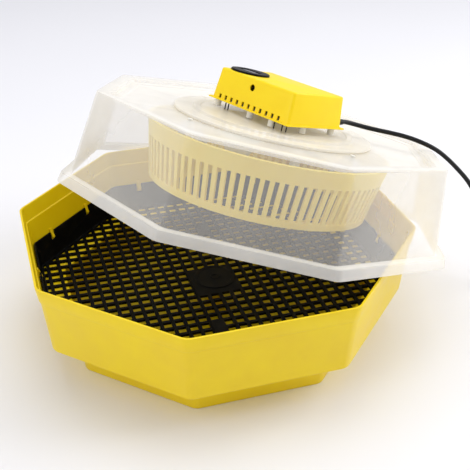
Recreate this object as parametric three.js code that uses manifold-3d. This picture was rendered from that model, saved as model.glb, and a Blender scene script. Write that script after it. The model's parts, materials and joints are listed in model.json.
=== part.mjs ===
// An octagonal egg incubator: a tray with a grille for the eggs, and a clear lid that carries
// the heater, its guard ring and a control box. Millimetres, +Z up. The origin is the centre
// of the tray's underside. The lid lies askew, as it is left when the eggs are looked at.
import * as THREE from 'three';
import { mergeVertices } from 'three/addons/utils/BufferGeometryUtils.js';
import Module from 'manifold-3d';

const wasm = await Module();
wasm.setup();

// Driving dimensions. An octagon's size is the radius to its corners.
const sides = 8;
const sideTurn = Math.PI / 4;
const flatTurn = Math.PI / 8;
const gap = 0.3;
const tray = {
  rim: 270.6, height: 148.5, wall: 3.2, bandDepth: 22, bandStep: 1.2,
  floorRadius: 257.3, floorZ: 50, plinthTop: 219, plinthBottom: 215,
};
const grille = {
  bottomZ: 53.5, thick: 3.6, topZ: 94, outerBottom: 252, outerTop: 256.6, wall: 2.4,
  field: 226, pitchU: 15.6, pitchV: 14.2, slotWidth: 9.4, slotRows: 7, bar: 6, hub: 30,
};
const lid = {
  skirtRadius: 279.5, skirtDepth: 14, flangeRadius: 275.5, wallBottom: 264.1,
  wallTop: 247.6, height: 110.4, recessZ: 102, recessRadius: 226, thick: 2.2,
  opening: 122,
};
const lidPlace = { x: 52.2, y: 62.6, z: 153.0, turn: 21.85, pitch: 15.75, roll: -8.88 };
const plate = { radius: 138, stepRadius: 112, edge: 3.6, step: 6.6 };
const ring = {
  bottomRadius: 153.5, topRadius: 169, bottomZ: 3.7, topZ: 84.8, wall: 4.5, slots: 84,
  slotBottomZ: 13, slotTopZ: 62, slotWidth: 5.2,
};
const controlBox = {
  length: 151.6, width: 104, bottomZ: 119, height: 42.9, draft: 3.7, wall: 2.2, turn: -67.5,
  flange: 3, flangeThick: 2, vents: 11, ventPitch: 11.6, ventWidth: 4.4, ventHeight: 6, ventZ: 2.2,
};
const lead = { radius: 3.25, coilRadius: 36, coilHeight: 13, reliefLength: 22 };
const plug = { width: 35, thick: 13.8, length: 36, pin: 2, pinReach: 19, pinSpread: 9.5 };

const radians = (degrees) => (degrees * Math.PI) / 180;

// Materials
const paint = (color, roughness, metalness = 0) =>
  new THREE.MeshStandardMaterial({ color, roughness, metalness });
const yellowPlastic = () => paint(0xf3d21f, 0.38);
const blackPlastic = () => paint(0x141414, 0.5);
const steel = () => paint(0xb9bcc0, 0.35, 0.9);
const whitePlastic = () => paint(0xece9e0, 0.45);
const clearPlastic = () => {
  const material = paint(0xe9ebec, 0.3);
  material.transparent = true;
  material.opacity = 0.4;
  return material;
};

// Shapes
function lathe(outline, segments) {
  const points = outline.map(([radius, z]) => new THREE.Vector2(radius, z));
  return new THREE.LatheGeometry(points, segments).rotateX(Math.PI / 2);
}

function block(width, depth, height) {
  return new THREE.BoxGeometry(width, depth, height).translate(0, 0, height / 2);
}

function rod(radius, height, segments = 16) {
  return new THREE.CylinderGeometry(radius, radius, height, segments)
    .rotateX(Math.PI / 2).translate(0, 0, height / 2);
}

function solid(geometry) {
  const bare = geometry.clone();
  bare.deleteAttribute('normal');
  bare.deleteAttribute('uv');
  const merged = mergeVertices(bare, 1e-4);
  return new wasm.Manifold(new wasm.Mesh({
    numProp: 3,
    vertProperties: new Float32Array(merged.attributes.position.array),
    triVerts: new Uint32Array(merged.index.array),
  }));
}

function geometryOf(body) {
  const mesh = body.getMesh();
  const geometry = new THREE.BufferGeometry();
  geometry.setAttribute('position', new THREE.BufferAttribute(mesh.vertProperties, 3));
  geometry.setIndex(new THREE.BufferAttribute(mesh.triVerts, 1));
  geometry.computeVertexNormals();
  return geometry;
}

function cut(geometry, tools) {
  const body = tools.reduce((left, tool) => left.subtract(solid(tool)), solid(geometry));
  return geometryOf(body);
}

function join(geometry, additions) {
  const body = additions.reduce((left, extra) => left.add(solid(extra)), solid(geometry));
  return geometryOf(body);
}

function place(parent, name, geometry, material, x = 0, y = 0, z = 0) {
  const mesh = new THREE.Mesh(geometry, material);
  mesh.name = name;
  mesh.position.set(x, y, z);
  parent.add(mesh);
  return mesh;
}

// Tray
function trayRadiusAt(z) {
  const underBand = tray.rim - 2 * tray.bandStep - 1.6;
  const rise = (z - tray.floorZ) / (tray.height - tray.bandDepth - tray.floorZ);
  return tray.floorRadius + (underBand - tray.floorRadius) * rise;
}

// A wedge on the wall's inside, which drops into a notch of the grille's edge.
function wallWedge(side, along) {
  const face = (trayRadiusAt(grille.topZ) - tray.wall) * Math.cos(flatTurn);
  const inside = face - wedgeSize.reach;
  const outline = new THREE.Shape();
  outline.moveTo(face + 1.8, wedgeSize.topZ);
  outline.lineTo(inside, wedgeSize.bottomZ + 2);
  outline.lineTo(inside, wedgeSize.bottomZ);
  outline.lineTo(face + 0.9, wedgeSize.bottomZ);
  const wedge = new THREE.ExtrudeGeometry(outline, { depth: wedgeSize.width,
    bevelEnabled: false });
  // the outline's plane stands up: across becomes radial, up becomes Z
  wedge.translate(0, 0, -wedgeSize.width / 2).rotateX(Math.PI / 2).translate(0, along, 0);
  return wedge.rotateZ(flatTurn + side * sideTurn);
}

const wedgePlaces = [58, -25];
const wedgeSize = { width: 5.5, reach: 8, bottomZ: 84.5, topZ: 104 };
const notchSize = { width: 7.5, depth: 12.5 };

function trayShape() {
  const bandZ = tray.height - tray.bandDepth;
  const under = trayRadiusAt(bandZ);
  const outline = [
    [0, 0], [tray.plinthBottom, 0], [tray.plinthTop, tray.floorZ],
    [tray.floorRadius, tray.floorZ], [under, bandZ], [under + tray.bandStep, bandZ],
    [tray.rim, tray.height], [tray.rim - tray.wall, tray.height],
    [under + tray.bandStep - tray.wall, bandZ], [under - tray.wall, bandZ],
    [tray.floorRadius - tray.wall + 0.4, tray.floorZ + 3],
    [tray.plinthTop - 3, tray.floorZ + 3], [tray.plinthBottom - 3, 3],
    [14, 3], [12, tray.floorZ - 1], [0, tray.floorZ - 1],
  ];
  const wedges = [];
  for (let side = 0; side < sides; side += 1) {
    for (const along of wedgePlaces) wedges.push(wallWedge(side, along));
  }
  return join(lathe(outline, sides), wedges);
}

const tabSize = { reach: 6.4, width: 9, height: 4, along: -6 };

// Grille: a floor of slots, an upright edge with notches for the wedges, and a hub.
function grilleSlots() {
  const slots = [];
  const cell = grille.pitchV * grille.slotRows;
  const reach = grille.field;
  const columns = Math.floor((reach - grille.slotWidth / 2) / grille.pitchU);
  for (let column = -columns; column <= columns; column += 1) {
    const u = column * grille.pitchU;
    const end = Math.min(reach, reach * Math.SQRT2 - Math.abs(u) - grille.slotWidth / 2);
    for (let row = -3; row <= 3; row += 1) {
      const low = Math.max(-end, (row - 0.5) * cell + grille.bar / 2);
      const high = Math.min(end, (row + 0.5) * cell - grille.bar / 2);
      if (high - low < 2 * grille.bar) continue;
      const slot = block(grille.slotWidth, high - low, 3 * grille.thick);
      slot.translate(u, (low + high) / 2, grille.bottomZ - grille.thick);
      slots.push(slot.rotateZ(flatTurn));
    }
  }
  return slots;
}

function grilleShape() {
  const floorTop = grille.bottomZ + grille.thick;
  const edge = lathe([
    [0, grille.bottomZ], [grille.outerBottom, grille.bottomZ],
    [grille.outerTop, grille.topZ], [grille.outerTop - grille.wall, grille.topZ],
    [grille.outerBottom - grille.wall, floorTop], [0, floorTop],
  ], sides);
  const notches = [];
  for (let side = 0; side < sides; side += 1) {
    for (const along of wedgePlaces) {
      const notch = block(24, notchSize.width, 20);
      notch.translate(grille.outerTop * Math.cos(flatTurn), along,
        grille.topZ - notchSize.depth);
      notches.push(notch.rotateZ(flatTurn + side * sideTurn));
    }
  }
  const open = cut(edge, [...grilleSlots(), ...notches]);
  const hub = rod(grille.hub, grille.thick + 1.4, 24).translate(0, 0, grille.bottomZ);
  const tabs = [0, 4].map((side) => {
    const tab = block(tabSize.reach, tabSize.width, tabSize.height);
    tab.translate(grille.outerTop * Math.cos(flatTurn) - 1.9, tabSize.along,
      grille.topZ - tabSize.height);
    return tab.rotateZ(flatTurn + side * sideTurn);
  });
  return join(open, [hub, ...tabs]);
}

// Lid: a skirt that goes down outside the tray's rim, a flange, sloping walls and a top
// with a sunk middle.
function lidShape() {
  const t = lid.thick;
  const outline = [
    [lid.opening, lid.recessZ - t], [lid.recessRadius - 1.5, lid.recessZ - t],
    [lid.recessRadius + 1, lid.height - t], [lid.wallTop - t, lid.height - t],
    [lid.wallBottom - t, -t], [lid.flangeRadius - t, -t],
    [lid.skirtRadius - t, -lid.skirtDepth], [lid.skirtRadius, -lid.skirtDepth],
    [lid.flangeRadius, 0], [lid.wallBottom, 0], [lid.wallTop, lid.height],
    [lid.recessRadius + 3.5, lid.height], [lid.recessRadius, lid.recessZ],
    [lid.opening, lid.recessZ], [lid.opening, lid.recessZ - t],
  ];
  const shell = lathe(outline, sides);
  const holes = bracketTurns.map((turn) => {
    const hole = rod(1.8, 10, 12).translate(bracketRadius, 0, lid.recessZ - 6);
    return hole.rotateZ(turn);
  });
  return cut(shell, holes);
}

const bracketTurns = [0, 1, 2, 3].map((index) => radians(22.5 + 90 * index));
const bracketRadius = 148;
const bracket = { thick: 1.2, footLength: 10, bendAt: 8, endAt: 13.4, endZ: 70, width: 12 };

// The two-step plate on the lid's top, which carries the control box.
function plateShape() {
  const bottom = lid.recessZ + gap;
  const outline = [
    [0, bottom], [plate.radius - 1, bottom], [plate.radius, bottom + 1],
    [plate.radius - 0.8, bottom + plate.edge], [plate.stepRadius, bottom + plate.edge],
    [plate.stepRadius - 1.6, bottom + plate.step], [0, bottom + plate.step],
  ];
  const wireHoles = wirePlaces.map(([x, y]) => rod(wire.radius + 0.7, 30, 10).translate(x, y, bottom - 10));
  return cut(lathe(outline, 48), wireHoles);
}

// Guard ring round the heater: solid at its top, slotted below.
function ringShape() {
  const slope = (ring.topRadius - ring.bottomRadius) / (ring.topZ - ring.bottomZ);
  const inner = ring.bottomRadius - ring.wall;
  const outline = [
    [inner, ring.bottomZ], [ring.bottomRadius, ring.bottomZ], [ring.topRadius, ring.topZ],
    [ring.topRadius - ring.wall, ring.topZ], [inner, ring.bottomZ],
  ];
  const middleZ = (ring.slotBottomZ + ring.slotTopZ) / 2;
  const middle = ring.bottomRadius + slope * (middleZ - ring.bottomZ);
  const slots = [];
  for (let index = 0; index < ring.slots; index += 1) {
    const slot = block(24, ring.slotWidth, ring.slotTopZ - ring.slotBottomZ);
    slot.translate(middle, 0, ring.slotBottomZ);
    slots.push(slot.rotateZ((2 * Math.PI * index) / ring.slots));
  }
  return cut(lathe(outline, 2 * ring.slots), slots);
}

// A steel strip from the lid's top to the guard ring's band, with a foot on each.
function bracketShape() {
  const foot = lid.recessZ - lid.thick - gap;
  const { thick, footLength, bendAt, endAt, endZ, width } = bracket;
  const strip = new THREE.Shape();
  strip.moveTo(-footLength, foot);
  strip.lineTo(-footLength, foot - thick);
  strip.lineTo(bendAt - thick, foot - thick);
  strip.lineTo(endAt - thick, endZ);
  strip.lineTo(endAt, endZ);
  strip.lineTo(bendAt, foot);
  const shape = new THREE.ExtrudeGeometry(strip, { depth: width, bevelEnabled: false });
  shape.translate(bracketRadius, 0, -width / 2).rotateX(Math.PI / 2);
  return cut(shape, [rod(1.8, 10, 12).translate(bracketRadius, 0, foot - 6)]);
}

function screwShape(shaft, head, length) {
  return join(rod(head, 1.8, 16), [rod(shaft, length, 12).translate(0, 0, -length + 0.5)]);
}

// Control box: a drafted cover with a row of vents, on a base plate held up by posts.
function coverShape() {
  const { length, width, height, draft, wall } = controlBox;
  const outer = draftedBlock(length, width, height, draft, 0);
  const inner = draftedBlock(length, width, height - wall, draft * (1 - wall / height), wall);
  const lip = block(length + 2 * controlBox.flange, width + 2 * controlBox.flange,
    controlBox.flangeThick);
  const vents = [];
  const first = -length / 2 + 16;
  for (let index = 0; index < controlBox.vents; index += 1) {
    const vent = block(controlBox.ventWidth, 16, controlBox.ventHeight);
    vents.push(vent.translate(first + index * controlBox.ventPitch, -width / 2,
      controlBox.ventZ));
  }
  const trimmerHole = rod(4.5, 20, 20).rotateX(Math.PI / 2)
    .translate(trimmerPlace.x, -width / 2 + 8, trimmerPlace.z);
  const leadHole = rod(4.9, 20, 16).rotateX(Math.PI / 2)
    .translate(exitPlace.x, width / 2 + 8, exitPlace.z);
  const windowHole = block(display.window + 4, display.windowDepth + 4, 20)
    .translate(displayPlace.x, displayPlace.y, height - 10);
  return cut(join(outer, [lip]), [inner.translate(0, 0, -0.01), ...vents, trimmerHole,
    leadHole, windowHole]);
}

function draftedBlock(length, width, height, draft, inset) {
  const corner = (length / 2 - inset) * Math.SQRT2;
  const narrow = (length / 2 - inset - draft) / (length / 2 - inset);
  const shape = new THREE.CylinderGeometry(corner * narrow, corner, height, 4);
  shape.rotateY(Math.PI / 4).rotateX(Math.PI / 2).translate(0, 0, height / 2);
  return shape.scale(1, (width / 2 - inset) / (length / 2 - inset), 1);
}

const displayPlace = { x: -44, y: -20 };
const display = { radius: 27, thick: 2.6, window: 32, windowDepth: 16 };
const trimmerPlace = { x: -4, z: 30 };
const exitPlace = { x: 57, z: 6 };
const wire = { radius: 0.9, length: 34 };
const wirePlaces = [[-52, -45], [-46, -45], [46, -45], [57, -41], [62, -38]]
  .map(([x, y]) => {
    const turn = radians(controlBox.turn);
    const along = x * Math.cos(turn) - y * Math.sin(turn);
    return [along, x * Math.sin(turn) + y * Math.cos(turn)];
  });

// A round frame with a window in it, on the box's top.
function bezelShape() {
  const edge = display.radius;
  const frame = lathe([[0, 0], [edge, 0], [edge, display.thick - 0.8],
    [edge - 0.8, display.thick], [0, display.thick]], 40);
  return cut(frame, [block(display.window + gap, display.windowDepth + gap, 10)
    .translate(0, 0, -2)]);
}

function plugShape() {
  const outline = new THREE.Shape();
  outline.moveTo(0, -5);
  outline.lineTo(8, -7.5);
  outline.lineTo(18, -plug.width / 2);
  outline.lineTo(plug.length, -plug.width / 2);
  outline.lineTo(plug.length, plug.width / 2);
  outline.lineTo(18, plug.width / 2);
  outline.lineTo(8, 7.5);
  outline.lineTo(0, 5);
  return new THREE.ExtrudeGeometry(outline, { depth: plug.thick, bevelEnabled: false });
}

function tube(points, radius, corners, steps) {
  const section = new THREE.Shape();
  for (let index = 0; index < corners; index += 1) {
    const turn = (2 * Math.PI * (index + 0.5)) / corners;
    const x = radius * Math.cos(turn);
    const y = radius * Math.sin(turn);
    if (index === 0) section.moveTo(x, y);
    else section.lineTo(x, y);
  }
  const path = new THREE.CatmullRomCurve3(points.map((p) => new THREE.Vector3(...p)));
  return new THREE.ExtrudeGeometry(section, { steps, extrudePath: path });
}

// Assembly
const incubator = new THREE.Group();
place(incubator, 'base_tray', trayShape(), yellowPlastic());
place(incubator, 'egg_grille', grilleShape(), blackPlastic());

const lidUnit = new THREE.Group();
lidUnit.position.set(lidPlace.x, lidPlace.y, lidPlace.z);
lidUnit.rotation.set(radians(lidPlace.roll), radians(lidPlace.pitch), radians(lidPlace.turn),
  'ZYX');
incubator.add(lidUnit);
place(lidUnit, 'lid_shell', lidShape(), clearPlastic());
place(lidUnit, 'carrier_plate', plateShape(), paint(0xe9dfb6, 0.4));
place(lidUnit, 'heat_guard_ring', ringShape(), paint(0xf0d98a, 0.5));

bracketTurns.forEach((turn, index) => {
  const holder = new THREE.Group();
  holder.rotation.z = turn;
  lidUnit.add(holder);
  place(holder, `ring_bracket_${index + 1}`, bracketShape(), steel());
  place(holder, `bracket_screw_${index + 1}`, screwShape(1.5, 3.2, 8), steel(),
    bracketRadius, 0, lid.recessZ + gap);
});

// Heater: one loop of heating cable in four holders on the plate's underside.
const heater = { radius: 96, z: 62, wire: 3, holder: 8 };
place(lidUnit, 'heater_loop', new THREE.TorusGeometry(heater.radius, heater.wire, 8, 48),
  steel(), 0, 0, heater.z);
for (let index = 0; index < 4; index += 1) {
  const stand = new THREE.Group();
  stand.rotation.z = radians(90 * index);
  lidUnit.add(stand);
  const top = lid.recessZ;
  const post = block(14, heater.holder, top - heater.z + 8)
    .translate(heater.radius, 0, heater.z - 8);
  const groove = new THREE.TorusGeometry(heater.radius, heater.wire + gap, 12, 64)
    .translate(0, 0, heater.z);
  place(stand, `heater_holder_${index + 1}`, cut(post, [groove]), whitePlastic());
}

const dishTop = lid.recessZ - lid.thick - gap;
const boxUnit = new THREE.Group();
boxUnit.rotation.z = radians(controlBox.turn);
boxUnit.position.z = controlBox.bottomZ;
lidUnit.add(boxUnit);

// Sensor dish hanging under the lid's top, with a small board and the probe in it.
const sensor = { x: -84, y: -104, depth: 20, bottom: 15, top: 26, wall: 1.6, probe: 26 };
const dish = lathe([
  [0, -sensor.depth], [sensor.bottom, -sensor.depth], [sensor.top, 0], [sensor.top - 2, 0],
  [sensor.bottom - 1.4, -sensor.depth + sensor.wall], [0, -sensor.depth + sensor.wall],
], 32);
place(lidUnit, 'sensor_dish', dish, whitePlastic(), sensor.x, sensor.y, dishTop);
place(lidUnit, 'sensor_board', block(20, 14, 1.6), paint(0x5f9a4c, 0.5),
  sensor.x, sensor.y, dishTop - sensor.depth + 4);
place(lidUnit, 'temperature_probe', rod(2.5, sensor.probe, 16), steel(), sensor.x, sensor.y,
  dishTop - sensor.depth - gap - sensor.probe);

place(boxUnit, 'box_cover', coverShape(), yellowPlastic());
place(boxUnit, 'box_base_plate', block(controlBox.length - 6, controlBox.width - 6, 2),
  whitePlastic(), 0, 0, gap);
const postHeight = controlBox.bottomZ - (lid.recessZ + gap + plate.step) - 2 * gap;
const postPlaces = [[-68, -45], [-2, -45], [40, -45], [68, -14], [68, 42], [-68, 42]];
postPlaces.forEach(([x, y], index) => {
  place(boxUnit, `box_post_${index + 1}`, rod(4.5, postHeight, 20), whitePlastic(), x, y,
    -postHeight - gap);
});
place(boxUnit, 'control_board', block(124, 78, 1.6), paint(0x3f7a45, 0.5), 0, 0, 6);
place(boxUnit, 'transformer', block(34, 28, 24), paint(0x2f3033, 0.6), 32, 8, 8);
place(boxUnit, 'relay', block(19, 15, 15), paint(0x2b5fa8, 0.4), 0, 22, 8);
place(boxUnit, 'display_bezel', bezelShape(), paint(0x101010, 0.25), displayPlace.x,
  displayPlace.y, controlBox.height + gap);
const windowShape = block(display.window - gap, display.windowDepth - gap, 1.6);
place(boxUnit, 'display_window', windowShape, paint(0x1b1d20, 0.1), displayPlace.x,
  displayPlace.y, controlBox.height + 0.6);
place(boxUnit, 'display_module', block(34, 18, 9), paint(0x202225, 0.4), displayPlace.x,
  displayPlace.y, controlBox.height - 12);
place(boxUnit, 'trimmer_body', block(10, 9, 10), paint(0x2456b0, 0.4), trimmerPlace.x,
  -36, trimmerPlace.z - 5);
const spindle = join(rod(2.3, 5, 20), [rod(1.4, 3, 12).translate(0, 0, -0.5)]);
const slotted = cut(spindle, [block(6, 0.8, 2).translate(0, 0, 4)]).rotateX(Math.PI / 2);
place(boxUnit, 'trimmer_spindle', slotted, whitePlastic(), trimmerPlace.x, -41.1,
  trimmerPlace.z);
wirePlaces.forEach(([x, y], index) => {
  place(lidUnit, `unit_wire_${index + 1}`, rod(wire.radius, wire.length, 10),
    blackPlastic(), x, y, controlBox.bottomZ - gap - wire.length);
});

// Mains lead: out of a tapered strain relief, down to the floor, a coil, and its plug.
const relief = new THREE.CylinderGeometry(3.9, 4.6, lead.reliefLength, 16);
const reliefStart = controlBox.width / 2 + gap;
place(boxUnit, 'strain_relief', relief.translate(0, lead.reliefLength / 2, 0), blackPlastic(),
  exitPlace.x, reliefStart, exitPlace.z);

incubator.updateMatrixWorld(true);
const afterRelief = (distance) => boxUnit.localToWorld(new THREE.Vector3(exitPlace.x,
  reliefStart + lead.reliefLength + gap + distance, exitPlace.z)).toArray();
const coil = { x: 487, y: 102 };
const coilOut = lead.coilRadius + lead.coilHeight / 2 + lead.radius + 2 * gap;
const low = lead.radius + 0.1;
// the lead meets the coil's outside along a tangent, and leaves it so
const besideCoil = (degrees) => [coil.x + coilOut * Math.cos(radians(degrees)),
  coil.y + coilOut * Math.sin(radians(degrees)), low];
const leadRoute = [
  afterRelief(0), afterRelief(12), [207, 118, 236.5], [249, 116.5, 229], [277, 113, 221.5],
  [306, 110, 208], [338, 108, 179], [356, 107, 157], [375, 105.5, 124], [389, 104.5, 90],
  [400, 104, 56], [410, 103, 26], [420, 102.5, 8], [430, 104.5, low + 0.15],
  [441, 114.5, low], besideCoil(145),
];
const plugPlace = { x: coil.x + 68, y: coil.y - 76 };
const tailRoute = [
  besideCoil(20), [coil.x + 49, coil.y, low + 1], [coil.x + 54, coil.y - 15, low + 0.8],
  [coil.x + 60, coil.y - 36, low + 0.4], [plugPlace.x - 2, coil.y - 56, low + 2],
  [plugPlace.x, plugPlace.y + 10, plug.thick / 2],
  [plugPlace.x, plugPlace.y + gap, plug.thick / 2],
];
place(incubator, 'mains_lead', tube(leadRoute, lead.radius, 8, 44), blackPlastic());
const half = lead.coilHeight / 2;
const coilOutline = [
  [-half, 2], [-half + 2, 0], [half - 2, 0], [half, 2], [half, 11], [half - 2, 13],
  [-half + 2, 13], [-half, 11], [-half, 2],
].map(([across, z]) => [lead.coilRadius + across, z]);
place(incubator, 'lead_coil', lathe(coilOutline, 32), blackPlastic(), coil.x, coil.y, 0);
place(incubator, 'lead_tail', tube(tailRoute, lead.radius, 8, 16), blackPlastic());

const plugUnit = new THREE.Group();
plugUnit.position.set(plugPlace.x, plugPlace.y, 0);
plugUnit.rotation.z = -Math.PI / 2;
incubator.add(plugUnit);
place(plugUnit, 'plug_body', plugShape(), blackPlastic());
[-1, 1].forEach((hand, index) => {
  const pin = rod(plug.pin, plug.pinReach, 16).rotateY(Math.PI / 2);
  place(plugUnit, `plug_pin_${index + 1}`, pin, steel(), plug.length + gap,
    hand * plug.pinSpread, plug.thick / 2);
});

export default incubator;
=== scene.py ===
import json
import math

import bpy
from mathutils import Euler, Matrix, Vector

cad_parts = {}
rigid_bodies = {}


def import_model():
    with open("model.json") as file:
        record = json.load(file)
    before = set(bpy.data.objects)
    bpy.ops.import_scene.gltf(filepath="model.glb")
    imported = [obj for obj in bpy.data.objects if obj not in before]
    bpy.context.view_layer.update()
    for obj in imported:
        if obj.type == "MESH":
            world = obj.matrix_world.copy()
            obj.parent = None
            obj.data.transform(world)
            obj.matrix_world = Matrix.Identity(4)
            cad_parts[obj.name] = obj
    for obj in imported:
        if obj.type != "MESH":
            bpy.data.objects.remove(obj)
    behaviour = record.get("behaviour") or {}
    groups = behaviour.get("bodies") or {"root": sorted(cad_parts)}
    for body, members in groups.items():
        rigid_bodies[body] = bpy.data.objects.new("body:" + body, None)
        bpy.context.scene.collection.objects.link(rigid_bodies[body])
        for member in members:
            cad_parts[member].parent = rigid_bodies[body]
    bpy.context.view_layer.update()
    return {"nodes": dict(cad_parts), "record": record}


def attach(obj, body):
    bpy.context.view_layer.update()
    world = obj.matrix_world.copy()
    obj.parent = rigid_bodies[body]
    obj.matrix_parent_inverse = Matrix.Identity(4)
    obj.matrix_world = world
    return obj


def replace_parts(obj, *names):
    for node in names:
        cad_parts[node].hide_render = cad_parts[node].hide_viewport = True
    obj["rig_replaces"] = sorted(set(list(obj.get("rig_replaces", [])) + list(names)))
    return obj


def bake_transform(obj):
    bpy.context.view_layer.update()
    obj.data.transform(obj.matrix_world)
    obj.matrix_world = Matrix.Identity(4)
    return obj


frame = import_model()
mm = 0.001
sideTurn = math.radians(45)
flatTurn = math.radians(22.5)  # a corner of the tray is on +X, so a flat side faces this way

camera = {
    "place": (0.1219, -1.0124, 0.7246),
    "looks": (-0.0793, 0.8571, -0.5090),
    "lens": 66.35,
}
bpy.ops.object.select_all(action="DESELECT")
bpy.ops.object.camera_add(location=camera["place"])
cameraObject = bpy.context.active_object
cameraObject.rotation_euler = Vector(camera["looks"]).to_track_quat("-Z", "Y").to_euler()
cameraObject.data.lens = camera["lens"]
cameraObject.data.clip_start = 0.01
bpy.context.scene.camera = cameraObject
print("camera placed")

lidPlace = {"x": 52.2, "y": 62.6, "z": 153.0, "roll": -8.88, "pitch": 15.75, "turn": 21.85}
lidTurn = Euler([math.radians(lidPlace[name]) for name in ("roll", "pitch", "turn")], "XYZ")
lidMatrix = (Matrix.Translation(Vector((lidPlace["x"], lidPlace["y"], lidPlace["z"])) * mm)
             @ lidTurn.to_matrix().to_4x4())
boxMatrix = (lidMatrix @ Matrix.Translation((0, 0, 119 * mm))
             @ Matrix.Rotation(math.radians(-67.5), 4, "Z"))


def linear(hexColour):
    channels = [int(hexColour[start:start + 2], 16) / 255 for start in (1, 3, 5)]
    return tuple(c / 12.92 if c <= 0.04045 else ((c + 0.055) / 1.055) ** 2.4
                 for c in channels) + (1.0,)


def addNode(tree, kind, values=None, links=None, **settings):
    node = tree.nodes.new(kind)
    for name, value in settings.items():
        setattr(node, name, value)
    for socket, value in (values or {}).items():
        node.inputs[socket].default_value = value
    for socket, source in (links or {}).items():
        tree.links.new(source, node.inputs[socket])
    return node


def settlePiece(piece, matrix=None):
    # the piece's place goes into its mesh
    if matrix is not None:
        piece.matrix_world = matrix @ piece.matrix_world
    bpy.ops.object.select_all(action="DESELECT")
    piece.select_set(True)
    bpy.context.view_layer.objects.active = piece
    bpy.ops.object.transform_apply(location=True, rotation=True, scale=True)
    return piece


def smooth(piece, degrees=32):
    bpy.ops.object.select_all(action="DESELECT")
    piece.select_set(True)
    bpy.context.view_layer.objects.active = piece
    bpy.ops.object.shade_smooth_by_angle(angle=math.radians(degrees))


def roundEdges(piece, width, segments=2, degrees=32):
    bevel = piece.modifiers.new("rounded edges", "BEVEL")
    bevel.width = width
    bevel.segments = segments
    bevel.limit_method = "ANGLE"
    bevel.angle_limit = math.radians(degrees)
    bevel.use_clamp_overlap = True
    bevel.harden_normals = False
    smooth(piece, degrees)


def bevelCorners(piece, width, segments):
    bevel = piece.modifiers.new("rounded edges", "BEVEL")
    bevel.width = width
    bevel.segments = segments
    bevel.limit_method = "ANGLE"
    bevel.angle_limit = math.radians(30)
    applyModifiers(piece)


def applyModifiers(piece):
    bpy.ops.object.select_all(action="DESELECT")
    piece.select_set(True)
    bpy.context.view_layer.objects.active = piece
    for modifier in list(piece.modifiers):
        bpy.ops.object.modifier_apply(modifier=modifier.name)


def joinPieces(pieces, name):
    bpy.ops.object.select_all(action="DESELECT")
    for piece in pieces:
        piece.select_set(True)
    bpy.context.view_layer.objects.active = pieces[0]
    if len(pieces) > 1:
        bpy.ops.object.join()
    pieces[0].name = name
    return pieces[0]


def cutAway(piece, cutter):
    cut = piece.modifiers.new("cut", "BOOLEAN")
    cut.operation = "DIFFERENCE"
    cut.solver = "EXACT"
    cut.use_self = False
    cut.object = cutter
    bpy.ops.object.select_all(action="DESELECT")
    piece.select_set(True)
    bpy.context.view_layer.objects.active = piece
    bpy.ops.object.modifier_apply(modifier=cut.name)
    bpy.data.objects.remove(cutter)


def cube(name, size, place, turn=0.0):
    bpy.ops.object.select_all(action="DESELECT")
    bpy.ops.mesh.primitive_cube_add(size=1, location=place, rotation=(0, 0, turn), scale=size)
    piece = bpy.context.active_object
    piece.name = name
    bpy.ops.object.transform_apply(location=True, rotation=True, scale=True)
    return piece


def copyTurned(piece, matrix, name):
    copy = piece.copy()
    copy.data = piece.data.copy()
    copy.name = name
    bpy.context.scene.collection.objects.link(copy)
    return settlePiece(copy, matrix)


def loft(name, profile, sides, corner=0.0, hollow=False, steps=4):
    # a rounded polygon swept through (radius, height) steps, its corners on the axes
    radius, height = profile[0]
    bpy.ops.object.select_all(action="DESELECT")
    bpy.ops.mesh.primitive_circle_add(vertices=sides, radius=radius, fill_type="NGON",
                                      location=(0, 0, height))
    piece = bpy.context.active_object
    piece.name = name
    bpy.ops.object.transform_apply(location=True)
    bpy.ops.object.mode_set(mode="EDIT")
    bpy.ops.mesh.select_all(action="SELECT")
    if corner:
        bpy.ops.mesh.bevel(offset=corner * math.tan(math.pi / sides), segments=steps,
                           affect="VERTICES")
    if hollow:
        bpy.ops.mesh.delete(type="ONLY_FACE")
    bpy.ops.mesh.select_all(action="SELECT")
    for nextRadius, nextHeight in profile[1:]:
        move = {"value": (0, 0, nextHeight - height)}
        if hollow:
            bpy.ops.mesh.extrude_edges_move(TRANSFORM_OT_translate=move)
        else:
            bpy.ops.mesh.extrude_region_move(TRANSFORM_OT_translate=move)
        scale = nextRadius / radius
        bpy.ops.transform.resize(value=(scale, scale, 1), center_override=(0, 0, 0))
        radius, height = nextRadius, nextHeight
    if hollow:
        bpy.ops.mesh.select_all(action="SELECT")
        bpy.ops.mesh.remove_doubles(threshold=0.00001)
    bpy.ops.mesh.select_all(action="SELECT")
    bpy.ops.mesh.normals_make_consistent(inside=False)
    bpy.ops.object.mode_set(mode="OBJECT")
    return piece


def paint(piece, material):
    piece.data.materials.clear()
    piece.data.materials.append(material)


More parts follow.
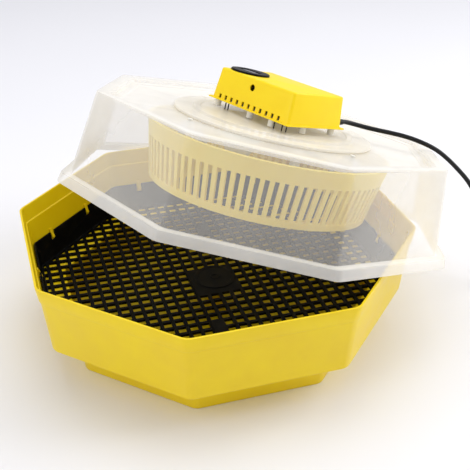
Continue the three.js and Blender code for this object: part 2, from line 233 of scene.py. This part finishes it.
def mouldedPlastic(name, look):
    # injection moulded plastic: an even satin skin with faint flow clouds and a fine grain
    material = bpy.data.materials.new(name)
    material.use_nodes = True
    tree = material.node_tree
    shader = tree.nodes["Principled BSDF"]
    place = addNode(tree, "ShaderNodeTexCoord")
    cloud = addNode(tree, "ShaderNodeTexNoise",
                    {"Scale": 1 / look["cloud"], "Detail": 3.0, "Roughness": 0.55},
                    {"Vector": place.outputs["Object"]})
    grain = addNode(tree, "ShaderNodeTexNoise",
                    {"Scale": 1 / look["grain"], "Detail": 2.0, "Roughness": 0.6},
                    {"Vector": place.outputs["Object"]})
    tint = addNode(tree, "ShaderNodeValToRGB", links={"Fac": cloud.outputs["Fac"]})
    tint.color_ramp.elements[0].position = 0.3
    tint.color_ramp.elements[0].color = linear(look["shade"])
    tint.color_ramp.elements[1].position = 0.7
    tint.color_ramp.elements[1].color = linear(look["colour"])
    gloss = addNode(tree, "ShaderNodeMapRange",
                    {"From Min": 0.3, "From Max": 0.7, "To Min": look["roughness"] * 0.85,
                     "To Max": look["roughness"] * 1.2}, {"Value": cloud.outputs["Fac"]})
    bump = addNode(tree, "ShaderNodeBump", {"Strength": look["bump"], "Distance": 0.0002},
                   {"Height": grain.outputs["Fac"]})
    tree.links.new(tint.outputs["Color"], shader.inputs["Base Color"])
    tree.links.new(gloss.outputs["Result"], shader.inputs["Roughness"])
    tree.links.new(bump.outputs["Normal"], shader.inputs["Normal"])
    shader.inputs["IOR"].default_value = look.get("ior", 1.5)
    shader.inputs["Metallic"].default_value = look.get("metallic", 0.0)
    shader.inputs["Subsurface Weight"].default_value = look.get("depth", 0.0)
    shader.inputs["Subsurface Radius"].default_value = (1.0, 0.8, 0.3)
    shader.inputs["Subsurface Scale"].default_value = 0.004
    return material


def frostedPlastic(name, look):
    # thin frosted polypropylene: clear enough to see through, milkier where it is looked along
    material = bpy.data.materials.new(name)
    material.use_nodes = True
    tree = material.node_tree
    shader = tree.nodes["Principled BSDF"]
    place = addNode(tree, "ShaderNodeTexCoord")
    flow = addNode(tree, "ShaderNodeTexNoise", {"Scale": 1 / look["cloud"], "Detail": 3.0},
                   {"Vector": place.outputs["Object"]})
    grain = addNode(tree, "ShaderNodeTexNoise", {"Scale": 1 / look["grain"], "Detail": 2.0},
                    {"Vector": place.outputs["Object"]})
    edge = addNode(tree, "ShaderNodeLayerWeight", {"Blend": 0.5})
    milk = addNode(tree, "ShaderNodeMapRange",
                   {"From Min": 0.15, "From Max": 0.95, "To Min": look["milk"],
                    "To Max": look["grazing"]}, {"Value": edge.outputs["Facing"]})
    milk.interpolation_type = "SMOOTHSTEP"
    patch = addNode(tree, "ShaderNodeMapRange",
                    {"From Min": 0.3, "From Max": 0.7, "To Min": 0.92, "To Max": 1.08},
                    {"Value": flow.outputs["Fac"]})
    opacity = addNode(tree, "ShaderNodeMath",
                      links={0: milk.outputs["Result"], 1: patch.outputs["Result"]},
                      operation="MULTIPLY", use_clamp=True)
    bump = addNode(tree, "ShaderNodeBump", {"Strength": look["bump"], "Distance": 0.0002},
                   {"Height": grain.outputs["Fac"]})
    tree.links.new(opacity.outputs["Value"], shader.inputs["Alpha"])
    tree.links.new(bump.outputs["Normal"], shader.inputs["Normal"])
    shader.inputs["Base Color"].default_value = linear(look["colour"])
    shader.inputs["Roughness"].default_value = look["roughness"]
    shader.inputs["IOR"].default_value = 1.49
    return material


looks = {
    # injection moulded ABS, satin: a strong warm yellow with soft wide highlights
    "tray_yellow": {
        "made": "moulded_abs_satin_yellow", "colour": "#f6d800", "shade": "#f1d000", "cloud": 0.05,
        "grain": 0.0011, "roughness": 0.34, "bump": 0.06, "depth": 0.05, "ior": 1.45,
    },
    # moulded polypropylene, matt: a deep black that hardly shines
    "grille_black": {
        "made": "moulded_polypropylene_matt_black", "colour": "#040404", "shade": "#020202",
        "cloud": 0.03, "grain": 0.0009, "roughness": 0.5, "bump": 0.2, "ior": 1.2,
    },
    # heat resistant plastic, satin: pale warm cream
    "ring_cream": {
        "made": "moulded_plastic_satin_cream", "colour": "#ffe874", "shade": "#fde26a",
        "cloud": 0.04, "grain": 0.001, "roughness": 0.38, "bump": 0.1, "depth": 0.15,
    },
    # drawn and plated steel: a grey metal shine, faintly brushed
    "steel": {
        "made": "plated_steel_drawn", "colour": "#c8c9cb", "shade": "#b4b6ba", "cloud": 0.008,
        "grain": 0.0006, "roughness": 0.3, "bump": 0.15, "metallic": 1.0,
    },
    # moulded nylon, satin: off white
    "white_plastic": {
        "made": "moulded_nylon_satin_white", "colour": "#f4f2ea", "shade": "#ebe8de",
        "cloud": 0.02, "grain": 0.0008, "roughness": 0.4, "bump": 0.1,
    },
    # solder mask over glass laminate: a mid green, slightly glossy
    "board_green": {
        "made": "circuit_board_lacquered_green", "colour": "#5f9a4c", "shade": "#4c8440",
        "cloud": 0.004, "grain": 0.0006, "roughness": 0.35, "bump": 0.2,
    },
    # moulded ABS, satin: near black with a faint shine
    "dark_plastic": {
        "made": "moulded_abs_satin_black", "colour": "#0c0c0c", "shade": "#070707", "cloud": 0.02,
        "grain": 0.0008, "roughness": 0.4, "bump": 0.04, "ior": 1.22,
    },
    # moulded terminal plastic: a clean mid blue
    "blue_plastic": {
        "made": "moulded_plastic_satin_blue", "colour": "#2d5fae", "shade": "#264f96",
        "cloud": 0.01, "grain": 0.0008, "roughness": 0.35, "bump": 0.1,
    },
    # polished acrylic: black and glassy
    "window": {
        "made": "polished_acrylic_black", "colour": "#0c0d10", "shade": "#08090b", "cloud": 0.01,
        "grain": 0.001, "roughness": 0.12, "bump": 0.02, "ior": 1.35,
    },
    # extruded PVC sheath: soft black with a thin highlight
    "lead_black": {
        "made": "extruded_pvc_soft_black", "colour": "#0a0a0a", "shade": "#060606", "cloud": 0.01,
        "grain": 0.0007, "roughness": 0.38, "bump": 0.12, "ior": 1.4,
    },
}
# the same ABS from a finer tool: a clearer yellow
looks["box_yellow"] = dict(
    looks["tray_yellow"], made="moulded_abs_fine_satin_yellow", colour="#ffdf00", shade="#fcd900",
    roughness=0.4, ior=1.42)
materials = {name: mouldedPlastic(look["made"], look) for name, look in looks.items()}
# frosted polypropylene, thin: the inside shows through a white veil
lidLook = {"colour": "#fffcf5", "cloud": 0.06, "grain": 0.0012, "roughness": 0.22,
           "bump": 0.02, "milk": 0.17, "grazing": 0.6}
# frosted polypropylene, thick: creamy, and only partly clear
plateLook = {"colour": "#fdf8ec", "cloud": 0.05, "grain": 0.0012, "roughness": 0.3,
             "bump": 0.04, "milk": 0.4, "grazing": 0.6}
# the same as the lid in a thicker rim: a denser white edge
rimLook = dict(lidLook, milk=0.38, grazing=0.75)
materials["clear_lid"] = frostedPlastic("frosted_polypropylene_thin", lidLook)
materials["clear_lid_rim"] = frostedPlastic("frosted_polypropylene_rim", rimLook)
materials["plate_cream"] = frostedPlastic("frosted_polypropylene_cream", plateLook)
print("materials made")


# from the control box over the lid's edge to the floor, into a coil, and on to the plug
lead = {
    "diameter": 0.0065,
    "length": 1.3,
    "low": 3.35,  # a hair above the floor
    "softenings": 4,
    "stepTurn": 15,
    "run": [
        (167.0, 103.7, 250.8), (175, 111.9, 247.1), (207, 118, 236.5), (249, 116.5, 229),
        (277, 113, 221.5), (306, 110, 208), (338, 108, 179), (356, 107, 157),
        (375, 105.5, 124), (389, 104.5, 90), (400, 104, 56), (410, 103, 26),
        (420, 102.5, 8), (430, 104.5, 3.5), (441, 114.5, 3.35), (449.2, 128.4, 3.35),
    ],
    "coilCentre": (487, 102),
    "coilStart": 145,
    "turned": 1205,
    "tail": [(536, 102, 7.6), (541, 87, 4.4), (547, 66, 3.8), (553, 46, 5.4),
             (555, 36, 6.9), (555, 26.3, 6.9)],
}


def ease(value, low, high):
    share = min(1.0, max(0.0, (value - low) / (high - low)))
    return share * share * (3 - 2 * share)


def coilPoint(turned):
    # two turns lie side by side on the floor and two more lie on them
    outer, inner, away = 39.4, 32.8, 46.1
    across = outer + (away - outer) * (1 - ease(turned, 0, 45) + ease(turned, 1155, 1205))
    across += (inner - outer) * (ease(turned, 290, 360) - ease(turned, 980, 1050))
    height = lead["low"] + 6.6 * ease(turned, 620, 690)
    angle = math.radians(lead["coilStart"] - turned)
    x, y = lead["coilCentre"]
    return (x + across * math.cos(angle), y + across * math.sin(angle), height)


turnSteps = range(20, lead["turned"] + 1, lead["stepTurn"])
leadPoints = lead["run"] + [coilPoint(step) for step in turnSteps] + lead["tail"]


def curveThrough(points, closeSteps=6):
    # Catmull-Rom through the points, so the lead bends smoothly
    ends = [points[0]] + points + [points[-1]]
    line = []
    for index in range(len(points) - 1):
        a, b, c, d = (Vector(ends[index + step]) for step in range(4))
        for part in range(closeSteps):
            t = part / closeSteps
            line.append(0.5 * ((2 * b) + (c - a) * t + (2 * a - 5 * b + 4 * c - d) * t * t
                               + (3 * b - a - 3 * c + d) * t ** 3))
    line.append(Vector(points[-1]))
    for softening in range(lead["softenings"]):
        middle = [(a + 2 * b + c) / 4 for a, b, c in zip(line, line[1:], line[2:])]
        line = [line[0]] + middle + [line[-1]]
    return [point * mm for point in line]


leadLine = curveThrough(leadPoints)
leadLength = sum((b - a).length for a, b in zip(leadLine, leadLine[1:]))
print("lead length", round(leadLength, 3))
curve = bpy.data.curves.new("mains_lead_line", "CURVE")
curve.dimensions = "3D"
curve.bevel_depth = lead["diameter"] / 2
curve.bevel_resolution = 3
curve.use_fill_caps = True
spline = curve.splines.new("POLY")
spline.points.add(len(leadLine) - 1)
for point, place in zip(spline.points, leadLine):
    point.co = (*place, 1)
leadPiece = bpy.data.objects.new("mains_lead_cable", curve)
bpy.context.scene.collection.objects.link(leadPiece)
bpy.ops.object.select_all(action="DESELECT")
leadPiece.select_set(True)
bpy.context.view_layer.objects.active = leadPiece
bpy.ops.object.convert(target="MESH")
leadPiece = bpy.context.active_object
smooth(leadPiece, 60)
paint(leadPiece, materials["lead_black"])
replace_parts(leadPiece, "mains_lead", "lead_coil", "lead_tail")
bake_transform(leadPiece)


def makeTie():
    # a soft band round the coil's turns
    tie = {"halfWide": 7.2, "halfTall": 6.9, "thick": 0.6, "width": 12, "across": 36.1,
           "turn": 85}
    corner = math.sqrt(2)
    outer, inner, half = 1.0, 1.0 - tie["thick"] / tie["halfTall"], tie["width"] / 2
    profile = [(inner * corner, -half), (outer * corner, -half), (outer * corner, half),
               (inner * corner, half), (inner * corner, -half)]
    band = loft("lead_tie", [(radius, z * mm) for radius, z in profile], 4, 0.5, hollow=True)
    settlePiece(band, Matrix.Rotation(math.radians(45), 4, "Z"))
    settlePiece(band, Matrix.Diagonal((tie["halfWide"] * mm, tie["halfTall"] * mm, 1, 1)))
    x, y = lead["coilCentre"]
    stand = (Matrix.Translation((x * mm, y * mm, tie["halfTall"] * mm))
             @ Matrix.Rotation(math.radians(tie["turn"]), 4, "Z")
             @ Matrix.Translation((tie["across"] * mm, 0, 0))
             @ Matrix.Rotation(math.radians(90), 4, "X"))
    settlePiece(band, stand)
    smooth(band)
    paint(band, materials["lead_black"])
    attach(band, "tray")
    return band


tiePiece = makeTie()
print("mains lead laid")

tray = {
    "rim": 270.6, "height": 148.5, "wall": 3.2, "band": 22, "step": 1.8, "floorRadius": 257.3,
    "floorZ": 50, "plinthTop": 219, "plinthBottom": 215, "corner": 0.013,
}


def makeTray():
    wall, step = tray["wall"], tray["step"]
    bandZ = tray["height"] - tray["band"]
    under = tray["rim"] - 2 * step - 1.6
    profile = [
        (tray["plinthBottom"], 0), (tray["plinthTop"], tray["floorZ"] - 1.5),
        (tray["plinthTop"] + 0.6, tray["floorZ"]), (tray["floorRadius"] - 2, tray["floorZ"]),
        (tray["floorRadius"], tray["floorZ"] + 2), (under, bandZ),
        (under + step, bandZ + 0.6), (tray["rim"], tray["height"]),
        (tray["rim"] - wall, tray["height"]), (under + step - wall, bandZ + 0.6),
        (under - wall, bandZ), (tray["floorRadius"] - wall + 0.4, tray["floorZ"] + 3),
        (tray["plinthTop"] - 3, tray["floorZ"] + 3), (tray["plinthBottom"] - 3, 3),
    ]
    body = loft("tray_body", [(r * mm, z * mm) for r, z in profile], 8, tray["corner"])
    bevelCorners(body, 0.0009, 2)
    wedges = makeWedges()
    post = loft("trough_post", [(0.014, 0.0025), (0.012, 0.049)], 24)
    shell = joinPieces([body, post] + wedges, "tray_shell")
    smooth(shell)
    paint(shell, materials["tray_yellow"])
    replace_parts(shell, "base_tray")
    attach(shell, "tray")
    return shell


def wallRadius(z):
    bandZ = tray["height"] - tray["band"]
    under = tray["rim"] - 2 * tray["step"] - 1.6
    rise = (z - tray["floorZ"]) / (bandZ - tray["floorZ"])
    return tray["floorRadius"] + (under - tray["floorRadius"]) * rise


def makeWedges():
    # sloping fins on the wall's inside, which drop into the grille's notches
    face = (wallRadius(94) - tray["wall"]) * math.cos(flatTurn)
    fin = cube("fin", (7 * mm, 5 * mm, 13 * mm), ((face - 2.4) * mm, 0, 91 * mm))
    bpy.ops.object.mode_set(mode="EDIT")
    bpy.ops.mesh.select_mode(type="VERT")
    bpy.ops.mesh.select_all(action="DESELECT")
    bpy.ops.object.mode_set(mode="OBJECT")
    for vertex in fin.data.vertices:
        if vertex.co.z > 0.095 and vertex.co.x < (face - 2.4) * mm:
            vertex.select = True
    bpy.ops.object.mode_set(mode="EDIT")
    bpy.ops.transform.translate(value=(5.2 * mm, 0, 0))
    bpy.ops.object.mode_set(mode="OBJECT")
    wedges = []
    for side in range(8):
        for along in (58, -25):
            matrix = (Matrix.Rotation(flatTurn + side * sideTurn, 4, "Z")
                      @ Matrix.Translation((0, along * mm, 0)))
            wedges.append(copyTurned(fin, matrix, f"fin_{side}_{along}"))
    bpy.data.objects.remove(fin)
    return wedges


makeTray()
print("tray made")

grille = {
    "bottomZ": 53.5, "thick": 3.6, "topZ": 94, "outerBottom": 252, "outerTop": 256.6,
    "wall": 2.4, "pitch": 15.55, "hole": 10.8, "field": 231, "dish": 3.6,
    "centre": (-12, 1), "hub": (32, 28, -2, -8),
}


def isSolid(u, v):
    # the hub and a few spots have no holes
    halfWide, halfTall, hubU, hubV = grille["hub"]
    if abs(u - hubU) < halfWide and abs(v - hubV) < halfTall:
        return True
    spots = [(-27.5, -112), (20, 128)]
    return any(abs(u - spotU) < 6 and abs(v - spotV) < 14 for spotU, spotV in spots)


def makeLattice():
    cells = 33
    pitch = grille["pitch"] * mm
    offset = [((value * mm) % pitch) for value in grille["centre"]]
    bpy.ops.object.select_all(action="DESELECT")
    bpy.ops.mesh.primitive_grid_add(x_subdivisions=cells, y_subdivisions=cells,
                                    size=cells * pitch)
    lattice = bpy.context.active_object
    lattice.name = "lattice"
    lattice.location = (offset[0], offset[1], (grille["bottomZ"] + grille["thick"]) * mm)
    bpy.ops.object.transform_apply(location=True)
    bpy.ops.object.mode_set(mode="EDIT")
    bpy.ops.mesh.select_mode(type="FACE")
    bpy.ops.mesh.select_all(action="DESELECT")
    bpy.ops.object.mode_set(mode="OBJECT")
    for face in lattice.data.polygons:
        face.select = not isSolid(face.center.x / mm, face.center.y / mm)
    bpy.ops.object.mode_set(mode="EDIT")
    barU = (grille["pitch"] - grille["hole"]) / 2 * mm
    bpy.ops.mesh.inset(thickness=barU, use_individual=True)
    bpy.ops.mesh.delete(type="FACE")
    # the field is trimmed to the octagon
    for side in range(8):
        turn = side * sideTurn
        normal = (math.cos(turn), math.sin(turn), 0)
        reach = grille["field"] * mm
        bpy.ops.mesh.select_all(action="SELECT")
        bpy.ops.mesh.bisect(plane_co=tuple(reach * value for value in normal),
                            plane_no=normal, clear_outer=True)
    bpy.ops.object.mode_set(mode="OBJECT")
    thick = lattice.modifiers.new("thickness", "SOLIDIFY")
    thick.thickness = grille["thick"] * mm
    thick.offset = -1
    applyModifiers(lattice)
    ridges = []
    columns = int(grille["field"] / grille["pitch"])
    for column in range(-columns, columns + 1):
        u = offset[0] / mm + (column + 0.5) * grille["pitch"]
        if u > -30 or u < -grille["field"] + 6:
            continue
        reach = min(grille["field"], grille["field"] * math.sqrt(2) - abs(u)) - 4
        ridge = cube("ridge", (1.5 * mm, 2 * reach * mm, 1.4 * mm),
                     (u * mm, 0, (grille["bottomZ"] + grille["thick"] + 0.6) * mm))
        bpy.ops.object.mode_set(mode="EDIT")
        bpy.ops.mesh.select_all(action="SELECT")
        bpy.ops.mesh.subdivide(number_cuts=8)
        bpy.ops.object.mode_set(mode="OBJECT")
        ridges.append(ridge)
    lattice = joinPieces([lattice] + ridges, "lattice")
    # the floor sags a little towards its middle, to the trough's post
    for vertex in lattice.data.vertices:
        reach = vertex.co.xy.length / (grille["outerBottom"] * mm)
        vertex.co.z -= grille["dish"] * mm * max(0.0, 1 - reach * reach)
    return settlePiece(lattice, Matrix.Rotation(flatTurn, 4, "Z"))


def makeGrille():
    floorTop = grille["bottomZ"] + grille["thick"]
    inner = grille["field"] / math.cos(flatTurn)
    profile = [
        (inner - 3, grille["bottomZ"] - 0.1), (grille["outerBottom"], grille["bottomZ"] - 0.1),
        (grille["outerTop"], grille["topZ"]),
        (grille["outerTop"] - grille["wall"], grille["topZ"]),
        (grille["outerBottom"] - grille["wall"], floorTop + 0.1), (inner - 3, floorTop + 0.1),
        (inner - 3, grille["bottomZ"] - 0.1),
    ]
    edge = loft("edge", [(r * mm, z * mm) for r, z in profile], 8, 0.010, hollow=True)
    notches = []
    for side in range(8):
        for along in (58, -25):
            notch = cube("notch", (30 * mm, 8 * mm, 26 * mm),
                         (grille["outerTop"] * math.cos(flatTurn) * mm, along * mm,
                          grille["topZ"] * mm))
            notches.append(settlePiece(notch, Matrix.Rotation(flatTurn + side * sideTurn,
                                                              4, "Z")))
    cutAway(edge, joinPieces(notches, "notches"))
    bevelCorners(edge, 0.0006, 2)
    hub = loft("hub", [(r * mm, (z - grille["dish"]) * mm) for r, z in [
        (29, 54.2), (29, 57.9), (28.4, 58.4), (24, 58.4), (23.4, 57.9), (7, 57.9),
        (6.4, 58.6), (4.5, 58.6), (4, 57.8)]], 40)
    tabs = []
    for side in (0, 4):
        tab = cube("tab", (4 * mm, 9 * mm, 3.4 * mm),
                   ((grille["outerTop"] * math.cos(flatTurn) - 0.8) * mm, -6 * mm,
                    (grille["topZ"] - 1.7) * mm))
        tabs.append(settlePiece(tab, Matrix.Rotation(flatTurn + side * sideTurn, 4, "Z")))
    whole = joinPieces([edge, makeLattice(), hub] + tabs, "grille_tray")
    smooth(whole)
    paint(whole, materials["grille_black"])
    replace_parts(whole, "egg_grille")
    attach(whole, "tray")


makeGrille()
print("grille made")

lid = {
    "skirtRadius": 279.3, "skirtDepth": 13.8, "flangeRadius": 275.5, "wallBottom": 264.1,
    "wallTop": 247.6, "height": 110.4, "recessZ": 102, "recessRadius": 226, "thick": 2.2,
    "opening": 122, "corner": 0.007,
}


def makeLid():
    t = lid["thick"]
    profile = [
        (lid["opening"], lid["recessZ"] - t), (lid["recessRadius"] - 1.5, lid["recessZ"] - t),
        (lid["recessRadius"] + 1, lid["height"] - t), (lid["wallTop"] - t, lid["height"] - t),
        (lid["wallBottom"] - t, -t + 0.2), (lid["flangeRadius"] - t, -t + 0.2),
        (lid["skirtRadius"] - t, -lid["skirtDepth"]), (lid["skirtRadius"], -lid["skirtDepth"]),
        (lid["flangeRadius"] + 0.4, 0), (lid["wallBottom"], 0), (lid["wallTop"], lid["height"]),
        (lid["recessRadius"] + 5, lid["height"]), (lid["recessRadius"] + 1, lid["recessZ"] + 2),
        (lid["recessRadius"] - 8, lid["recessZ"] + 1.4), (lid["recessRadius"] - 10, lid["recessZ"]),
        (lid["opening"], lid["recessZ"]), (lid["opening"], lid["recessZ"] - t),
    ]
    shell = loft("lid_cover", [(r * mm, z * mm) for r, z in profile], 8, lid["corner"],
                 hollow=True, steps=5)
    bevelCorners(shell, 0.0016, 3)
    paint(shell, materials["clear_lid"])
    shell.data.materials.append(materials["clear_lid_rim"])
    for face in shell.data.polygons:
        # the skirt is moulded thicker, so it is milkier
        face.material_index = int(face.center.z < -0.001)
    settlePiece(shell, lidMatrix)
    smooth(shell)
    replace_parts(shell, "lid_shell")
    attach(shell, "lid")


makeLid()
print("lid made")

plate = {"radius": 138, "stepRadius": 112, "edge": 3.6, "step": 6.6}


def makePlate():
    bottom = lid["recessZ"] + 0.3
    profile = [
        (plate["radius"] - 1, bottom), (plate["radius"], bottom + 1),
        (plate["radius"] - 0.8, bottom + plate["edge"]),
        (plate["stepRadius"] + 1, bottom + plate["edge"] - 0.2),
        (plate["stepRadius"] - 1.4, bottom + plate["step"]),
        (plate["stepRadius"] - 9, bottom + plate["step"]),
        (plate["stepRadius"] - 10.5, bottom + plate["step"] - 0.9),
    ]
    piece = loft("heater_carrier", [(r * mm, z * mm) for r, z in profile], 96)
    bevelCorners(piece, 0.0006, 2)
    settlePiece(piece, lidMatrix)
    smooth(piece)
    paint(piece, materials["plate_cream"])
    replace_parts(piece, "carrier_plate")
    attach(piece, "lid")


makePlate()

ring = {"bottomRadius": 153.5, "topRadius": 169, "bottomZ": 3.7, "topZ": 84.8, "wall": 4.5,
        "slots": 84, "slotBottomZ": 13, "slotTopZ": 62}


def makeRing():
    slope = (ring["topRadius"] - ring["bottomRadius"]) / (ring["topZ"] - ring["bottomZ"])
    heights = [ring["bottomZ"], ring["slotBottomZ"], ring["slotTopZ"], ring["topZ"] - 1.5,
               ring["topZ"]]
    profile = [(ring["bottomRadius"] + slope * (z - ring["bottomZ"]), z) for z in heights]
    piece = loft("heater_guard", [(r * mm, z * mm) for r, z in profile], 2 * ring["slots"],
                 hollow=True)
    bpy.ops.object.mode_set(mode="EDIT")
    bpy.ops.mesh.select_mode(type="FACE")
    bpy.ops.mesh.select_all(action="DESELECT")
    bpy.ops.object.mode_set(mode="OBJECT")
    for face in piece.data.polygons:
        z = face.center.z / mm
        step = math.atan2(face.center.y, face.center.x) / (math.pi / ring["slots"])
        isBetween = ring["slotBottomZ"] < z < ring["slotTopZ"]
        face.select = isBetween and int(math.floor(step)) % 2 == 0
    bpy.ops.object.mode_set(mode="EDIT")
    bpy.ops.mesh.delete(type="FACE")
    bpy.ops.object.mode_set(mode="OBJECT")
    thick = piece.modifiers.new("thickness", "SOLIDIFY")
    thick.thickness = ring["wall"] * mm
    thick.offset = -1
    applyModifiers(piece)
    settlePiece(piece, lidMatrix)
    smooth(piece, 40)
    paint(piece, materials["ring_cream"])
    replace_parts(piece, "heat_guard_ring")
    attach(piece, "lid")


makeRing()
print("plate and ring made")

box = {
    "length": 151.6, "width": 104, "height": 42.9, "draft": 3.7, "wall": 2.2, "flange": 3,
    "flangeThick": 2, "vents": 11, "ventPitch": 11.6, "ventWidth": 4.4, "ventHeight": 6,
    "ventZ": 2.2,
}


def makeCover():
    length, width, height = (box[name] * mm for name in ("length", "width", "height"))
    draft = box["draft"] * mm
    cover = cube("cover", (length, width, height), (0, 0, height / 2))
    bpy.ops.object.mode_set(mode="EDIT")
    bpy.ops.mesh.select_mode(type="FACE")
    bpy.ops.mesh.select_all(action="DESELECT")
    bpy.ops.object.mode_set(mode="OBJECT")
    for face in cover.data.polygons:
        face.select = face.normal.z > 0.9
    bpy.ops.object.mode_set(mode="EDIT")
    bpy.ops.transform.resize(value=(1 - 2 * draft / length, 1 - 2 * draft / width, 1),
                             center_override=(0, 0, height))
    # the upright corners and the top's edges are rounded
    bpy.ops.mesh.select_mode(type="EDGE")
    bpy.ops.mesh.select_all(action="DESELECT")
    bpy.ops.object.mode_set(mode="OBJECT")
    for edge in cover.data.edges:
        ends = [cover.data.vertices[index].co.z for index in edge.vertices]
        edge.select = abs(ends[0] - ends[1]) > height / 2
    bpy.ops.object.mode_set(mode="EDIT")
    bpy.ops.mesh.bevel(offset=0.0045, segments=4)
    bpy.ops.mesh.select_all(action="DESELECT")
    bpy.ops.object.mode_set(mode="OBJECT")
    for edge in cover.data.edges:
        ends = [cover.data.vertices[index].co.z for index in edge.vertices]
        edge.select = min(ends) > height - 0.0005
    bpy.ops.object.mode_set(mode="EDIT")
    bpy.ops.mesh.bevel(offset=0.0022, segments=3)
    # the underside is sunk to a thin wall
    bpy.ops.mesh.select_mode(type="FACE")
    bpy.ops.mesh.select_all(action="DESELECT")
    bpy.ops.object.mode_set(mode="OBJECT")
    for face in cover.data.polygons:
        face.select = face.normal.z < -0.9 and face.center.z < 0.001
    bpy.ops.object.mode_set(mode="EDIT")
    bpy.ops.mesh.inset(thickness=box["wall"] * mm)
    inside = height - box["wall"] * mm
    bpy.ops.mesh.extrude_region_move(TRANSFORM_OT_translate={"value": (0, 0, inside)})
    bpy.ops.transform.resize(value=(1 - 2 * draft / length, 1 - 2 * draft / width, 1),
                             center_override=(0, 0, inside))
    bpy.ops.object.mode_set(mode="OBJECT")
    cutters = []
    for index in range(box["vents"]):
        x = -box["length"] / 2 + 16 + index * box["ventPitch"]
        cutters.append(cube("vent", (box["ventWidth"] * mm, 12 * mm, box["ventHeight"] * mm),
                            (x * mm, -width / 2,
                             (box["ventZ"] + box["ventHeight"] / 2) * mm)))
    cutAway(cover, joinPieces(cutters, "vents"))
    for place, radius, side in (((-4, 30), 4.5, -1), ((57, 6), 4.9, 1)):
        bpy.ops.object.select_all(action="DESELECT")
        bpy.ops.mesh.primitive_cylinder_add(vertices=24, radius=radius * mm, depth=0.02,
                                            location=(place[0] * mm, side * width / 2,
                                                      place[1] * mm),
                                            rotation=(math.pi / 2, 0, 0))
        cutter = bpy.context.active_object
        cutAway(cover, settlePiece(cutter))
    cutAway(cover, cube("window", (36 * mm, 20 * mm, 0.02), (-44 * mm, -20 * mm, height)))
    whole = joinPieces([cover, makeFlange(length, width)], "control_box_cover")
    settlePiece(whole, boxMatrix)
    roundEdges(whole, 0.0003, 2, 40)
    paint(whole, materials["box_yellow"])
    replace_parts(whole, "box_cover")
    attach(whole, "lid")


def makeFlange(length, width):
    # a thin lip round the cover's foot
    out = box["flange"] * mm
    thick = box["flangeThick"] * mm
    lip = cube("lip", (length + 2 * out, width + 2 * out, thick), (0, 0, thick / 2))
    hole = cube("lip_hole", (length - 3 * mm, width - 3 * mm, 0.02), (0, 0, 0))
    cutAway(lip, hole)
    return lip


makeCover()
print("control box made")

replaced = set()
for piece in bpy.data.objects:
    replaced.update(piece.get("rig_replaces", []))
slots = {part["node"]: part["material_slot"] for part in frame["record"]["subparts"]}
for name, node in frame["nodes"].items():
    if name in replaced:
        continue
    node.data.materials.clear()
    node.data.materials.append(materials[slots[name]])
    weld = node.modifiers.new("merge", "WELD")
    weld.merge_threshold = 0.00001
    bevel = node.modifiers.new("rounded edges", "BEVEL")
    bevel.width = 0.0003
    bevel.segments = 2
    bevel.limit_method = "ANGLE"
    bevel.angle_limit = math.radians(35)
print("CAD pieces finished")

def makeStudio():
    scene = bpy.context.scene
    scene.view_settings.view_transform = "Standard"
    scene.cycles.transparent_max_bounces = 24
    bpy.ops.object.select_all(action="DESELECT")
    bpy.ops.mesh.primitive_plane_add(size=60, location=(0, 0, -0.0004))
    floor = bpy.context.active_object
    floor.name = "studio_floor"
    paper = bpy.data.materials.new("studio_paper")
    paper.use_nodes = True
    tree = paper.node_tree
    shader = tree.nodes["Principled BSDF"]
    place = addNode(tree, "ShaderNodeTexCoord")
    mottle = addNode(tree, "ShaderNodeTexNoise", {"Scale": 2.0, "Detail": 2.0},
                     {"Vector": place.outputs["Object"]})
    tint = addNode(tree, "ShaderNodeValToRGB", links={"Fac": mottle.outputs["Fac"]})
    tint.color_ramp.elements[0].color = linear("#ececf0")
    tint.color_ramp.elements[1].color = linear("#efeff3")
    tree.links.new(tint.outputs["Color"], shader.inputs["Base Color"])
    shader.inputs["Roughness"].default_value = 0.6
    shader.inputs["Specular IOR Level"].default_value = 0.2
    paint(floor, paper)
    world = bpy.data.worlds.new("studio")
    world.use_nodes = True
    world.node_tree.nodes["Background"].inputs["Color"].default_value = linear("#f8f8fc")
    world.node_tree.nodes["Background"].inputs["Strength"].default_value = 0.64
    scene.world = world
    lights = [
        {"name": "right_light", "place": (2.2, 0.5, 1.5), "size": 1.6, "power": 32},
        {"name": "left_light", "place": (-1.8, -1.2, 1.5), "size": 1.8, "power": 14},
        {"name": "top_light", "place": (-0.1, 0.5, 2.3), "size": 1.8, "power": 20},
    ]
    for light in lights:
        bpy.ops.object.light_add(type="AREA", location=light["place"])
        lamp = bpy.context.active_object
        lamp.name = light["name"]
        lamp.data.size = light["size"]
        lamp.data.energy = light["power"]
        aim = Vector((0, 0, 0.1)) - Vector(light["place"])
        lamp.rotation_euler = aim.to_track_quat("-Z", "Y").to_euler()


makeStudio()
print("studio ready")
